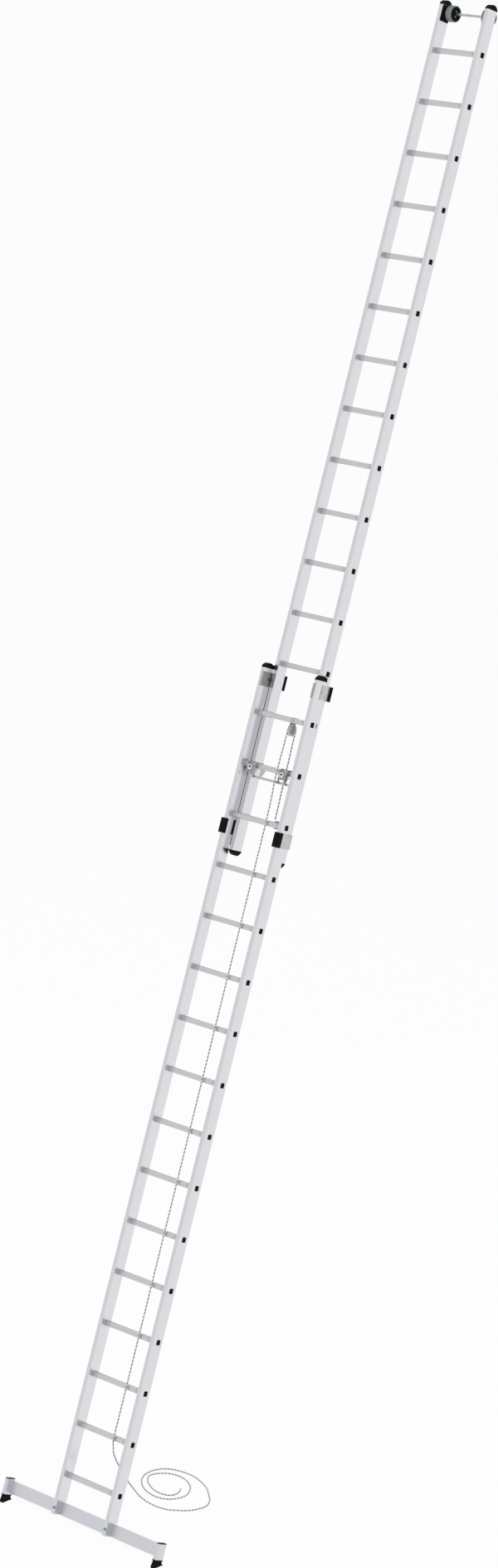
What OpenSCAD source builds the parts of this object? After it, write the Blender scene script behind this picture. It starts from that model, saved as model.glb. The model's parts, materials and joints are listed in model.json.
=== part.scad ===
// Two-section aluminium extension ladder with a cross foot, wall wheels and a hoisting rope.
// Millimetres. +X is to the right of someone facing the ladder, +Y points to the wall and
// +Z up. The origin is on the floor, midway between the soles of the two feet.

/* [Ladder] */
// Angle between the rails and the floor
lean = 70; // [66:1:76]
// Distance between two rungs
rung_pitch = 280; // [250:1:300]
// Rungs in each section
rung_count = 16; // [8:1:18]
// Rungs that overlap when the ladder is fully extended
overlap_rungs = 3; // [3:1:5]
// Outer width of the lower section
lower_w = 420; // [400:1:520]

/* [Rails] */
// Width of a rail, across the ladder
rail_w = 25; // [22:1:32]
// Depth of a rail, from front to back
rail_d = 70; // [64:1:84]
// Side wall of a rail
rail_wall = 1.8; // [1.4:0.1:3]
// Front and back wall of a rail, and its two inner ribs
rail_flange = 2.4; // [1.8:0.1:4]
// Corner radius of a rail
rail_r = 5; // [3:0.5:8]
// Gap between an upper rail and the lower rail beside it
side_gap = 10; // [8:0.5:14]
// How far the upper rails reach in between the lower ones
nest_lap = 9; // [6:0.5:10]
// Rail above the last rung of the lower section
lower_head = 238; // [160:1:260]
// Rail above the last rung of the upper section
upper_head = 243; // [200:1:260]
// Rail below the first rung of the upper section
upper_tail = 187; // [150:1:190]

/* [Rungs] */
// Depth of a rung
rung_d = 30; // [26:1:34]
// Height of a rung
rung_h = 28; // [24:1:32]
// Wall of a rung
rung_wall = 1.6; // [1.2:0.1:2.5]
// Distance of the rung axis from the front of its rails
rung_y = 39.5; // [36:0.5:42]
// Width of the pressed bead on each side of a rung
bead_w = 2; // [1:0.5:3]

/* [Cross foot] */
// Overall width of the cross foot
traverse_w = 1200; // [900:1:1300]
// Height of the cross tube
traverse_h = 70; // [60:1:80]
// Depth of the cross tube
traverse_d = 20; // [18:1:24]
// Distance of the cross tube from the front of the rails
traverse_y = 35; // [30:1:38]
// First rung to the top of the cross tube
traverse_drop = 149; // [130:1:160]
// Depth of the upright end pieces of the cross foot
stub_d = 55; // [50:1:64]
// End piece above and below the cross tube
stub_over = 8; // [4:1:14]
// Height of a foot below the front of its end piece
foot_h = 46; // [40:1:60]
// Length of a sole, from front to back
sole_len = 64; // [50:1:80]

/* [Wall wheels] */
// Diameter of a wheel over its tyre
wheel_dia = 88; // [70:1:100]
// Width of a wheel
wheel_w = 38; // [28:1:46]
// Thickness of the tyre
tyre_t = 4.5; // [3:0.5:8]
// Diameter of the axle tube
axle_dia = 14; // [10:1:18]
// Top of the upper rails down to the axle
axle_drop = 33; // [30:1:50]

/* [Latch] */
// Width of a latch hook
hook_w = 54; // [40:1:56]
// Thickness of the latch plates
hook_t = 2.5; // [2:0.5:3]
// How far the nose of the hook hangs below the rung axis
nose_drop = 40; // [34:1:48]
// Diameter of the pivot pins
pivot_dia = 8; // [6:1:10]

/* [Pulley and rope] */
// Distance of the pulley to the right of the middle
pulley_x = 76; // [60:1:78]
// Turn of the pulley about the rail direction
pulley_yaw = 20; // [0:1:25]
// Diameter of the sheave at the middle of the rope
pitch_dia = 46; // [46:1:50]
// Diameter of the rope
rope_dia = 8; // [6:0.5:10]

/* [Hidden] */
$fn = 48;
fit_gap = 0.3;          // gap between pieces that slide or turn past each other
bore_gap = 0.05;        // radial play of a bore on its pin or axle
cap_h = 28;             // height of the domed rail caps
cap_over = 1.5;         // how far a cap stands out over its rail
plug_t = 1.2;           // thickness of a plug's head
plug_d = 25;            // depth and height of a plug's head
plug_h = 29;
plate_t = 3;            // thickness of the guide brackets
guide_h = 78;           // height of the guide brackets along the rail

upper_w = lower_w - 2 * (rail_w + side_gap);
upper_y = rail_d - nest_lap;                       // front of the upper rails
lower_x = lower_w / 2;                             // outer faces
upper_x = upper_w / 2;
inner_x = upper_x - rail_w;                        // inner faces of the upper rails
last = rung_count - 1;
first_upper = rung_count - overlap_rungs;
upper_z = first_upper * rung_pitch;                // first rung of the upper section
lower_top = last * rung_pitch + lower_head;
upper_top = upper_z + last * rung_pitch + upper_head;
upper_bottom = upper_z - upper_tail;
traverse_bottom = -traverse_drop - traverse_h;
stub_top = -traverse_drop + stub_over;
stub_bottom = traverse_bottom - stub_over;
lower_rung_z = [for (k = [0:last]) k * rung_pitch];
upper_rung_z = [for (k = [0:last]) upper_z + k * rung_pitch];
upper_blind_z = [upper_rung_z[0], upper_rung_z[1]];  // these two end inside the rails
upper_open_z = [for (k = [2:last]) upper_rung_z[k]];

// Place of the leaning ladder over the origin: the soles are on z = 0 and centred on y = 0
sole_lead = 8;                                     // the sole is this far ahead of its end piece
base_y = -stub_bottom * cos(lean) - stub_d / 2 * sin(lean) + sole_lead;
base_z = foot_h - stub_bottom * sin(lean);

// Wall wheels: the axle runs in the middle of the rails' back edge
axle_y = upper_y + rail_d;
axle_z = upper_top - axle_drop;
bracket_t = 3;
wheel_x = inner_x - bracket_t - 0.5 - wheel_w;     // inner face of the right wheel

// Latch: it grips the lower rung beside the second rung of the upper section
latch_z = upper_z + rung_pitch;
rung_front = rung_y - rung_d / 2;
rung_back = rung_y + rung_d / 2;
upper_rung_front = upper_y + rung_front;
pivot_y = rung_back + 15.5;
pivot_z = 4;
nose_y = rung_front - 18.5;                        // front of the hook's nose
mouth_y = rung_front - 3.3;                        // front wall of the hook's mouth
ear_gap = 0.5;
hook_x1 = inner_x - bead_w - 2 * ear_gap - hook_t; // its bracket stops short of the rung's bead
hook_x0 = hook_x1 - hook_w;
latch_x = (hook_x0 + hook_x1) / 2;
bar_drop = 58;                                     // link bar below the rung
bar_h = 13;
bar_t = 3.2;
bar_len = 340;
bar_y = rung_front - bar_t - 0.6;                  // it passes close in front of the rungs

// Pulley under the last rung of the lower section
pulley_rung_z = last * rung_pitch;
sheave_z = pulley_rung_z - 58;
sheave_w = 14;
sheave_r = pitch_dia / 2 + 3;
strap_t = 2;
strap_w = 24;
yoke_h = rung_h / 2 + strap_t + 8;                 // rung axis down to the yoke's top

// Route of the pull rope down the front of the lower section, in the ladder's own frame: from
// the front of the sheave, over the latch's link bar, and back between the two lowest rungs
run_y = rung_front - 8.5;
ladder_route = [
    [pulley_x - 8, run_y + 2, sheave_z],
    [pulley_x - 9, run_y + 1, sheave_z - 92],
    [pulley_x - 10, run_y - 1, latch_z + 25],
    [pulley_x - 7, run_y - 4, latch_z - 55],
    [pulley_x - 2, run_y - 2, latch_z - 130],
    [pulley_x + 1, run_y, latch_z - rung_pitch],
    [pulley_x + 2, run_y, latch_z - 660],
    [pulley_x + 4, run_y, latch_z - 1570],
    [pulley_x + 7, run_y, latch_z - 2490],
    [pulley_x + 9, run_y, rung_pitch + 420],
    [pulley_x + 10, run_y, rung_pitch + 110],
    [pulley_x + 10, run_y, rung_pitch + 30],
    [pulley_x + 9, run_y + 3, rung_pitch - 14],
    [pulley_x + 8, rung_front + 3, rung_pitch - 35],
    [pulley_x + 6, rung_back - 5, rung_pitch - 82],
    [pulley_x - 10, rung_back + 62, rung_pitch - 138]];

// The rest of it, from there down to the floor and round in two loose turns
floor_route = [
    [46, 272, 278], [28, 328, 204], [22, 374, 144], [26, 420, 84], [46, 470, 36], [88, 510, 10],
    [140, 541, 4], [215, 610, 4], [238, 700, 4], [205, 765, 4], [152, 813, 4], [60, 880, 4],
    [-73, 930, 4], [-180, 932, 4], [-265, 900, 4], [-302, 838, 4], [-296, 765, 4],
    [-255, 698, 4], [-182, 640, 4], [-94, 607, 4], [-15, 607, 4], [40, 640, 4], [62, 719, 4],
    [20, 800, 4], [-43, 850, 4], [-123, 878, 4], [-201, 870, 4], [-252, 827, 4],
    [-268, 777, 4], [-235, 724, 4], [-168, 679, 4], [-92, 652, 4], [-25, 656, 4],
    [8, 685, 4], [3, 730, 4], [-23, 770, 4]];

// ---- Helpers -------------------------------------------------------------------------

// Stands a piece, drawn with the rails along Z and its front at y = 0, in the leaning ladder
module leaning() {
    translate([0, base_y, base_z]) rotate([lean - 90, 0, 0]) children();
}

// Draws a piece for the right side, or its mirror image for the left side
module on_side(left) {
    mirror([left ? 1 : 0, 0, 0]) children();
}

// Extrudes an outline of (y, z) from x0 to x1
module along_x(x0, x1) {
    translate([x0, 0, 0]) rotate([90, 0, 90]) linear_extrude(x1 - x0) children();
}

// Rectangle with round corners, about its middle
module rounded(w, h, r) {
    square([w - 2 * r, h], center = true);
    square([w, h - 2 * r], center = true);
    for (x = [-1, 1], y = [-1, 1])
        translate([x * (w / 2 - r), y * (h / 2 - r)]) circle(r);
}

// A point drawn in the leaning ladder's frame, as it stands over the floor
function stood(p) = [p[0], base_y + p[1] * sin(lean) + p[2] * cos(lean),
    base_z - p[1] * cos(lean) + p[2] * sin(lean)];

// The same for (y, z)
function upright(y, z) = [stood([0, y, z])[1], stood([0, y, z])[2]];

function unit(v) = v / norm(v);

function tangent(p, i) = unit(p[min(i + 1, len(p) - 1)] - p[max(i - 1, 0)]);

// Normals along a path that turn as little as they can
function normals(p, start, i = 0) =
    i == len(p) ? [] :
    let (t = tangent(p, i), n = unit(start - (start * t) * t))
    concat([n], normals(p, n, i + 1));

// Round tube swept along a path
module sweep(p, r, sides = 8, start = [1, 0, 0]) {
    n = normals(p, start);
    m = len(p);
    points = [for (i = [0:m - 1], k = [0:sides - 1])
        let (a = 360 * k / sides, b = cross(tangent(p, i), n[i]))
        p[i] + r * (cos(a) * n[i] + sin(a) * b)];
    walls = [for (i = [0:m - 2], k = [0:sides - 1])
        let (j = (k + 1) % sides, o = i * sides)
        [o + k, o + sides + k, o + sides + j, o + j]];
    ends = [[for (k = [0:sides - 1]) k],
        [for (k = [sides - 1:-1:0]) (m - 1) * sides + k]];
    polyhedron(points, concat(walls, ends), convexity = 10);
}

// ---- Rails, rungs and caps -----------------------------------------------------------

// Middles of the rail's front wall, of its two ribs, which pass the rungs, and of its back wall
walls = [rail_flange / 2, rung_front - 5, rung_back + 5, rail_d - rail_flange / 2];
chamber_w = rail_w - 2 * rail_wall;

// Outline of one of the rail's three chambers, made smaller in depth by a gap
module chamber(i, gap = 0) {
    depth = walls[i + 1] - walls[i] - rail_flange - gap;
    translate([rail_w / 2, (walls[i] + walls[i + 1]) / 2]) rounded(chamber_w, depth, 1.5);
}

module rail_outline() {
    difference() {
        translate([rail_w / 2, rail_d / 2]) rounded(rail_w, rail_d, rail_r);
        for (i = [0:2]) chamber(i);
    }
}

// A rail with a hole for each rung, through both side walls or, for a blind rung, through the
// inner one alone; x is its inner face
module rail(x, z0, z1, rung_z, blind_z = []) {
    translate([x, 0, 0]) difference() {
        translate([0, 0, z0]) linear_extrude(z1 - z0) rail_outline();
        for (z = rung_z)
            translate([0, rung_y, z]) along_x(-1, rail_w + 1) rounded(rung_d, rung_h, rail_r);
        for (z = blind_z)
            translate([0, rung_y, z]) along_x(-1, rail_w / 2) rounded(rung_d, rung_h, rail_r);
    }
}

module lower_rail() {
    x = lower_x - rail_w;
    color("gainsboro") difference() {
        rail(x, traverse_bottom, lower_top, lower_rung_z);
        // notch that takes the cross tube
        translate([x - 1, traverse_y, traverse_bottom - 1])
            cube([rail_w + 2, rail_d, traverse_h + 1]);
        translate([x + rail_w / 2, -1, traverse_bottom + traverse_h / 2])
            rotate([-90, 0, 0]) cylinder(r = bolt_r, h = rail_d);
        translate([x - 1, guide_bolt_y, guide_bolt_z])
            rotate([0, 90, 0]) cylinder(r = bolt_r, h = rail_w + 2);
    }
}

module upper_rail() {
    color("gainsboro") translate([0, upper_y, 0]) difference() {
        rail(inner_x, upper_bottom, upper_top, upper_open_z, upper_blind_z);
        for (z = guide_rivet_z)
            translate([inner_x + rail_w / 2, guide_rivet_y - upper_y, z])
                rotate([0, 90, 0]) cylinder(r = rivet_r, h = rail_w);
    }
}

// Closed tube with ribs on its tread, and a bead that grips the rail's inner wall
module rungs(half_w, rung_z, blind = false) {
    inside = half_w - rail_w;
    end = blind ? half_w - rail_wall : half_w;
    for (z = rung_z) translate([0, rung_y, z]) difference() {
        union() {
            along_x(-end, end) rounded(rung_d, rung_h, rail_r);
            for (s = [-1, 1])
                along_x(s > 0 ? inside - bead_w : -inside, s > 0 ? inside : bead_w - inside)
                    rounded(rung_d + 4, rung_h + 4, rail_r + 2);
        }
        along_x(-half_w - 1, half_w + 1)
            rounded(rung_d - 2 * rung_wall, rung_h - 2 * rung_wall, rail_r - rung_wall);
        for (y = [-9:3.6:9])
            translate([-inside + 8, y - 0.6, rung_h / 2 - 0.7])
                cube([2 * inside - 16, 1.2, 1]);
    }
}

// Domed plug in each end of each rung
module plugs(half_w, rung_z) {
    body_d = rung_d - 2 * rung_wall - fit_gap;
    body_h = rung_h - 2 * rung_wall - fit_gap;
    for (z = rung_z, s = [0, 1]) mirror([s, 0, 0]) translate([0, rung_y, z]) {
        along_x(half_w - 14, half_w) rounded(body_d, body_h, 3);
        along_x(half_w, half_w + plug_t) rounded(plug_d, plug_h, 6);
    }
}

// Half-round cap on the end of a rail: x and y are the rail's inner front corner
module cap(x, y, z, down, body_tone) {
    chord = rail_d + 2 * cap_over;
    r = (chord * chord / 4 + cap_h * cap_h) / (2 * cap_h);
    color(body_tone) translate([x, y + rail_d / 2, z]) mirror([0, 0, down ? 1 : 0]) {
        intersection() {
            along_x(-cap_over, rail_w + cap_over) translate([0, cap_h - r]) circle(r, $fn = 96);
            translate([-cap_over, -chord / 2, 0]) cube([rail_w + 2 * cap_over, chord, cap_h]);
        }
        // spigots that grip inside the rail's two outer chambers
        for (i = [0, 2])
            translate([0, -rail_d / 2, -18]) linear_extrude(18) chamber(i, fit_gap);
    }
}

// Cap of a lower rail, with a lug beside the upper rail that leads it into the guide
module lower_cap() {
    x = lower_x - rail_w;
    cap(x, 0, lower_top, false, "black");
    color("black") translate([upper_x + 3, rail_d - 14, lower_top])
        cube([x - upper_x + 4, 32, cap_h - 6]);
}

// ---- Guides between the two sections ---------------------------------------------------

bolt_r = 4;
rivet_r = 2.5;
lower_guide_z = lower_top - 98;                    // bottom of the lower section's guides
upper_guide_z = upper_z - 109;                     // bottom of the upper section's guides
guide_bolt_z = lower_guide_z + guide_h / 2;
guide_bolt_y = rail_d - 18;
guide_rivet_z = [upper_guide_z + 18, upper_guide_z + guide_h - 18];
guide_rivet_y = upper_y + rail_d - 16;
slide_x = lower_x + plug_t + 0.8;                  // inner face of the plate that passes the plugs
keeper_x = upper_x + 6;                            // the lower guide's hook passes the upper plugs
back_y = upper_y + rail_d + 0.5;                   // front of the lower section's sliders
slider_t = 24;

// Bent plate on the lower rail's outer face that reaches round the back of the upper rail
module lower_guide() {
    color("darkgray") difference() {
        translate([0, 0, lower_guide_z]) linear_extrude(guide_h)
            polygon([[lower_x, 42], [lower_x + plate_t, 42], [lower_x + plate_t, rail_d + 20],
                [keeper_x + plate_t, back_y - 5], [keeper_x + plate_t, back_y + 11],
                [inner_x + 6, back_y + 11], [inner_x + 6, back_y + 8], [keeper_x, back_y + 8],
                [keeper_x, back_y - 6], [lower_x, rail_d + 18]]);
        translate([lower_x - 1, guide_bolt_y, guide_bolt_z])
            rotate([0, 90, 0]) cylinder(r = bolt_r, h = plate_t + 2);
    }
}

// Plastic shoe on the end of the lower guide, behind the upper rail
module lower_slider() {
    x0 = inner_x + 0.6;
    x1 = keeper_x + plate_t + 4;
    color("dimgray") difference() {
        translate([(x0 + x1) / 2, back_y + slider_t / 2, lower_guide_z - 1])
            linear_extrude(guide_h + 2) rounded(x1 - x0, slider_t, 3);
        translate([0, 0, lower_guide_z]) linear_extrude(guide_h)
            polygon([[keeper_x, back_y - 1], [keeper_x + plate_t, back_y - 1],
                [keeper_x + plate_t, back_y + 11], [inner_x + 6, back_y + 11],
                [inner_x + 6, back_y + 8], [keeper_x, back_y + 8]]);
    }
}

// Thin wrap round the inner front corner of the lower rail, opposite the guide
module lower_clip() {
    x = lower_x - rail_w;
    color("silver") difference() {
        translate([0, 0, lower_guide_z]) linear_extrude(guide_h) difference() {
            translate([x - 2.5, -2.5]) square([12.5, rail_d - 6]);
            translate([x, 0]) square([rail_w, rail_d]);
        }
        translate([x - 4, guide_bolt_y, guide_bolt_z])
            rotate([0, 90, 0]) cylinder(r = bolt_r, h = 6);
    }
}

module lower_guide_bolts() {
    color("dimgray") for (s = [0, 1]) mirror([s, 0, 0])
        translate([0, guide_bolt_y, guide_bolt_z]) rotate([0, 90, 0]) {
            translate([0, 0, lower_x - rail_w - 2.5]) cylinder(r = bolt_r, h = rail_w + plate_t + 2.5);
            translate([0, 0, lower_x - rail_w - 4.3]) cylinder(r = 8.5, h = 1.8);
            translate([0, 0, lower_x - rail_w - 7.3]) cylinder(r = 6.5, h = 3, $fn = 6);
            translate([0, 0, lower_x + plate_t]) cylinder(r = 7, h = 2.2);
        }
}

// Bent plate on the upper rail's outer face that reaches round the lower rail to its front
module upper_guide() {
    color("darkgray") difference() {
        translate([0, 0, upper_guide_z]) linear_extrude(guide_h)
            polygon([[upper_x, upper_y + 66], [upper_x + plate_t, upper_y + 66],
                [upper_x + plate_t, upper_y + 45], [slide_x + plate_t, upper_y + 34],
                [slide_x + plate_t, -7], [lower_x - 12, -7], [lower_x - 12, -4],
                [slide_x, -4], [slide_x, upper_y + 31], [upper_x, upper_y + 41]]);
        for (z = guide_rivet_z)
            translate([upper_x - 1, guide_rivet_y, z])
                rotate([0, 90, 0]) cylinder(r = rivet_r, h = plate_t + 2);
    }
}

// Plastic shoe on the end of the upper guide, round the front of the lower rail, and a pad on
// the upper rail's corner that keeps the two rails apart
module upper_slider() {
    x0 = lower_x - rail_w - 4;
    x1 = slide_x + plate_t + 3;
    color("dimgray") translate([upper_x, upper_y + 1, upper_guide_z - 1])
        cube([side_gap - 1, 10, guide_h + 2]);
    color("dimgray") difference() {
        translate([(x0 + x1) / 2, 3.5, upper_guide_z - 1])
            linear_extrude(guide_h + 2) rounded(x1 - x0, 35, 4);
        translate([x0 + 3.5, -0.5, upper_guide_z - 2])
            cube([slide_x - x0 - 3.5, 60, guide_h + 4]);
        translate([x0 - 1, 8, upper_guide_z - 2]) cube([10, 60, guide_h + 4]);
        translate([0, 0, upper_guide_z]) linear_extrude(guide_h)
            polygon([[slide_x, 40], [slide_x, -4], [lower_x - 12, -4], [lower_x - 12, -7],
                [slide_x + plate_t, -7], [slide_x + plate_t, 40]]);
    }
}

module upper_guide_rivets() {
    color("silver") for (s = [0, 1], z = guide_rivet_z) mirror([s, 0, 0])
        translate([0, guide_rivet_y, z]) rotate([0, 90, 0]) {
            translate([0, 0, upper_x - 6]) cylinder(r = rivet_r, h = 6 + plate_t);
            translate([0, 0, upper_x + plate_t]) cylinder(r1 = 5, r2 = 3, h = 1.6);
        }
}

// ---- Cross foot ------------------------------------------------------------------------

stub_x = traverse_w / 2 - rail_w;                  // inner face of the right end piece

module traverse() {
    color("lightgray") difference() {
        translate([0, traverse_y + traverse_d / 2, traverse_bottom + traverse_h / 2])
            along_x(-stub_x, stub_x) difference() {
                rounded(traverse_d, traverse_h, 4);
                for (z = [-1, 1])
                    translate([0, z * traverse_h / 4])
                        rounded(traverse_d - 4, traverse_h / 2 - 3, 2);
            }
        for (s = [-1, 1])
            translate([s * (lower_x - rail_w / 2), 0, traverse_bottom + traverse_h / 2])
                rotate([-90, 0, 0]) cylinder(r = bolt_r, h = rail_d);
    }
}

// Upright end piece, a short tube parallel to the rails
module traverse_end() {
    color("lightgray") translate([stub_x + rail_w / 2, stub_d / 2, stub_bottom])
        linear_extrude(stub_top - stub_bottom) difference() {
            rounded(rail_w, stub_d, 4);
            rounded(rail_w - 4, stub_d - 4, 2);
        }
}

module traverse_end_cap() {
    color("black") translate([stub_x + rail_w / 2, stub_d / 2, 0]) {
        translate([0, 0, stub_top]) linear_extrude(3.5) rounded(rail_w, stub_d, 4);
        translate([0, 0, stub_top - 12]) linear_extrude(12)
            rounded(rail_w - 4, stub_d - 4, 2);
    }
}

// Rubber foot: a flange under the end piece, a waist, and a sole that lies flat on the floor
module foot() {
    z = stub_bottom;
    side = [upright(2, z - 2), upright(stub_d - 2, z - 2), upright(stub_d - 6, z - 9),
        [sole_len / 2 - 5, 9], [sole_len / 2, 5], [sole_len / 2, 0], [-sole_len / 2, 0],
        [-sole_len / 2 - 3, 7], upright(4, z - 9)];
    color("black") {
        difference() {
            along_x(stub_x + 1, stub_x + rail_w - 1) polygon(side);
            for (y = [-3.5:3.5])
                translate([stub_x, y * 8 - 1.2, -1]) cube([rail_w, 2.4, 3]);
        }
        leaning() translate([stub_x + rail_w / 2, stub_d / 2, z]) {
            translate([0, 0, -5]) linear_extrude(5) rounded(rail_w + 3, stub_d + 4, 5);
            linear_extrude(14) rounded(rail_w - 4, stub_d - 4, 2);
        }
    }
}

// Bolt through the front of each rail and the cross tube, with a washer and a nut
module traverse_bolts() {
    back = traverse_y + traverse_d;
    color("silver") for (s = [-1, 1])
        translate([s * (lower_x - rail_w / 2), 0, traverse_bottom + traverse_h / 2])
            rotate([-90, 0, 0]) {
                cylinder(r = bolt_r, h = back + 8);
                translate([0, 0, -1.5]) cylinder(r = 9, h = 1.5);
                translate([0, 0, -6.5]) cylinder(r = 7, h = 5, $fn = 6);
                translate([0, 0, back]) cylinder(r = 7, h = 5, $fn = 6);
            }
}

// ---- Pulley ----------------------------------------------------------------------------

// Draws something in the pulley's own frame, about the sheave's middle, axle along X
module at_pulley() {
    leaning() translate([pulley_x, rung_y, sheave_z]) rotate([0, 0, -pulley_yaw]) children();
}

// Strap round the rung, with a stud that carries the yoke
module pulley_hanger() {
    color("silver") leaning() translate([pulley_x, rung_y, pulley_rung_z]) {
        along_x(-strap_w / 2, strap_w / 2) difference() {
            rounded(rung_d + 2 * strap_t, rung_h + 2 * strap_t, rail_r + strap_t);
            rounded(rung_d, rung_h, rail_r);
        }
        translate([0, 0, -yoke_h - strap_t - 2])
            cylinder(r = 4, h = yoke_h + 3 - rung_h / 2);
        translate([0, 0, -yoke_h - strap_t - 2]) cylinder(r = 6, h = 2);
    }
}

// Two cheeks and the plate that joins them over the sheave
module pulley_yoke() {
    top = pulley_rung_z - yoke_h - sheave_z;
    cheek_x = sheave_w / 2 + 1;
    color("silver") at_pulley() difference() {
        union() {
            for (s = [-1, 1])
                along_x(s > 0 ? cheek_x : -cheek_x - strap_t, s > 0 ? cheek_x + strap_t : -cheek_x)
                    polygon([[-12, top], [-21, top - 14], [-21, 0], [-11, -17], [11, -17],
                        [21, 0], [21, top - 14], [12, top]]);
            translate([-cheek_x - strap_t, -12, top - strap_t])
                cube([2 * (cheek_x + strap_t), 24, strap_t]);
        }
        translate([0, 0, top - 10]) cylinder(r = 4, h = 20);
        rotate([0, 90, 0]) cylinder(r = pin_r, h = 60, center = true);
    }
}

pin_r = 4;

module pulley_pin() {
    end = sheave_w / 2 + 1 + strap_t;
    color("dimgray") at_pulley() rotate([0, 90, 0]) {
        cylinder(r = pin_r, h = 2 * end, center = true);
        for (s = [0, 1]) mirror([0, 0, s]) translate([0, 0, end]) cylinder(r = 6, h = 2);
    }
}

// Grooved wheel with a hub and lightening holes
module pulley_sheave() {
    groove_r = rope_dia / 2 + 0.4;
    color("slategray") at_pulley() rotate([0, 90, 0]) difference() {
        rotate_extrude() difference() {
            translate([pin_r + bore_gap, -sheave_w / 2])
                square([sheave_r - pin_r - bore_gap, sheave_w]);
            translate([pitch_dia / 2, 0]) circle(groove_r);
            translate([pitch_dia / 2, -groove_r]) square([10, 2 * groove_r]);
        }
        for (a = [0:60:300])
            rotate([0, 0, a]) translate([12, 0, -sheave_w]) cylinder(r = 2.5, h = 2 * sheave_w);
    }
}

// ---- Wall wheels -------------------------------------------------------------------------

// Moulded carrier on the rail's inner face, with a boss round the axle
module wheel_bracket() {
    z0 = upper_top - 88;
    color("black") leaning() difference() {
        along_x(inner_x - bracket_t, inner_x) {
            translate([upper_y + 2, z0]) square([rail_d - 4, 86]);
            translate([axle_y, axle_z]) circle(axle_dia / 2 + 4);
        }
        along_x(inner_x - 20, inner_x - 1) translate([axle_y, axle_z]) circle(axle_dia / 2);
    }
}

module wheel_axle() {
    color("silver") leaning()
        along_x(-inner_x + 1, inner_x - 1) translate([axle_y, axle_z]) circle(axle_dia / 2);
}

// Dished plastic hub with a boss round the axle
module wheel_hub() {
    r = wheel_dia / 2 - tyre_t;
    bore = axle_dia / 2 + bore_gap;
    boss = bore + 6;
    color("black") leaning() translate([wheel_x, axle_y, axle_z]) rotate([0, 90, 0])
        rotate_extrude($fn = 96) polygon([
            [bore, 0], [boss, 0], [boss + 3, 3], [r - 6, 3], [r - 4, 1],
            [r, 1], [r, wheel_w - 1], [r - 4, wheel_w - 1], [r - 6, wheel_w - 3],
            [boss + 3, wheel_w - 3], [boss, wheel_w], [bore, wheel_w]]);
}

module wheel_tyre() {
    r = wheel_dia / 2;
    color("slategray") leaning() translate([wheel_x, axle_y, axle_z]) rotate([0, 90, 0])
        rotate_extrude($fn = 96) difference() {
            translate([r - tyre_t, 0]) square([tyre_t, wheel_w]);
            for (z = [0, wheel_w])
                translate([r, z]) rotate(45) square(3, center = true);
        }
}

// ---- Latch -------------------------------------------------------------------------------

// U-shaped bracket on the upper rung: two ears that carry the pivot pin
module latch_bracket() {
    ear = [[pivot_y - 8, -8], [pivot_y - 8, -bar_drop + 10], [pivot_y - 4, -bar_drop + 1],
        [pivot_y + 2, -bar_drop + 1], [upper_rung_front + 9, -27],
        [upper_rung_front + 9, -rung_h / 2 - 3], [upper_rung_front, -rung_h / 2 - 3],
        [upper_rung_front, rung_h / 2], [pivot_y, pivot_z + 10], [pivot_y - 7, pivot_z + 7]];
    color("darkgray") leaning() translate([0, 0, latch_z]) difference() {
        union() {
            for (x = [hook_x0 - ear_gap - hook_t, hook_x1 + ear_gap]) along_x(x, x + hook_t) {
                polygon(ear);
                translate([pivot_y, pivot_z]) circle(10);
            }
            along_x(hook_x0 - ear_gap - hook_t, hook_x1 + ear_gap + hook_t)
                translate([upper_rung_front - hook_t, -12]) square([hook_t, 14]);
        }
        along_x(0, lower_x) translate([pivot_y, pivot_z]) circle(pivot_dia / 2);
    }
}

// Pivot pin of each latch, with a flat head at both ends
module latch_pins() {
    head = 1.5;
    x0 = hook_x0 - ear_gap - hook_t;
    x1 = hook_x1 + ear_gap + hook_t;
    color("dimgray") leaning() translate([0, pivot_y, latch_z + pivot_z])
        for (s = [0, 1]) mirror([s, 0, 0]) {
            along_x(x0, x1) circle(pivot_dia / 2);
            along_x(x0 - head, x0) circle(pivot_dia / 2 + 2.5);
            along_x(x1, x1 + head) circle(pivot_dia / 2 + 2.5);
        }
}

// Torsion spring round each pin, between the hook's cheeks
module latch_springs() {
    turns = 8;
    wire = 1.8;
    coil_r = pivot_dia / 2 + 0.3 + wire / 2;
    x0 = latch_x - turns * (wire + 0.4) / 2;
    steps = turns * 10;
    coil = [for (i = [0:steps]) let (a = 36 * i)
        [x0 + i * (wire + 0.4) / 10, coil_r * sin(a), coil_r * cos(a)]];
    legs = concat([[x0, 7, coil_r]], coil, [[x0 + turns * (wire + 0.4), 7, coil_r]]);
    color("dimgray") leaning() translate([0, pivot_y, latch_z + pivot_z])
        for (s = [0, 1]) mirror([s, 0, 0]) sweep(legs, wire / 2, 6, [0, 0, 1]);
}

// Slit round the sprung tongue of the front plate, and the hole in that tongue
module hook_cuts() {
    tongue_w = hook_w - 22;
    difference() {
        translate([-tongue_w / 2 - 2, -nose_drop + 7]) square([tongue_w + 4, nose_drop - 12]);
        translate([-tongue_w / 2, -nose_drop + 9]) square([tongue_w, nose_drop]);
    }
    translate([-2.5, -nose_drop / 2 + 3]) rounded(10, 13, 4.4);
}

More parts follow.
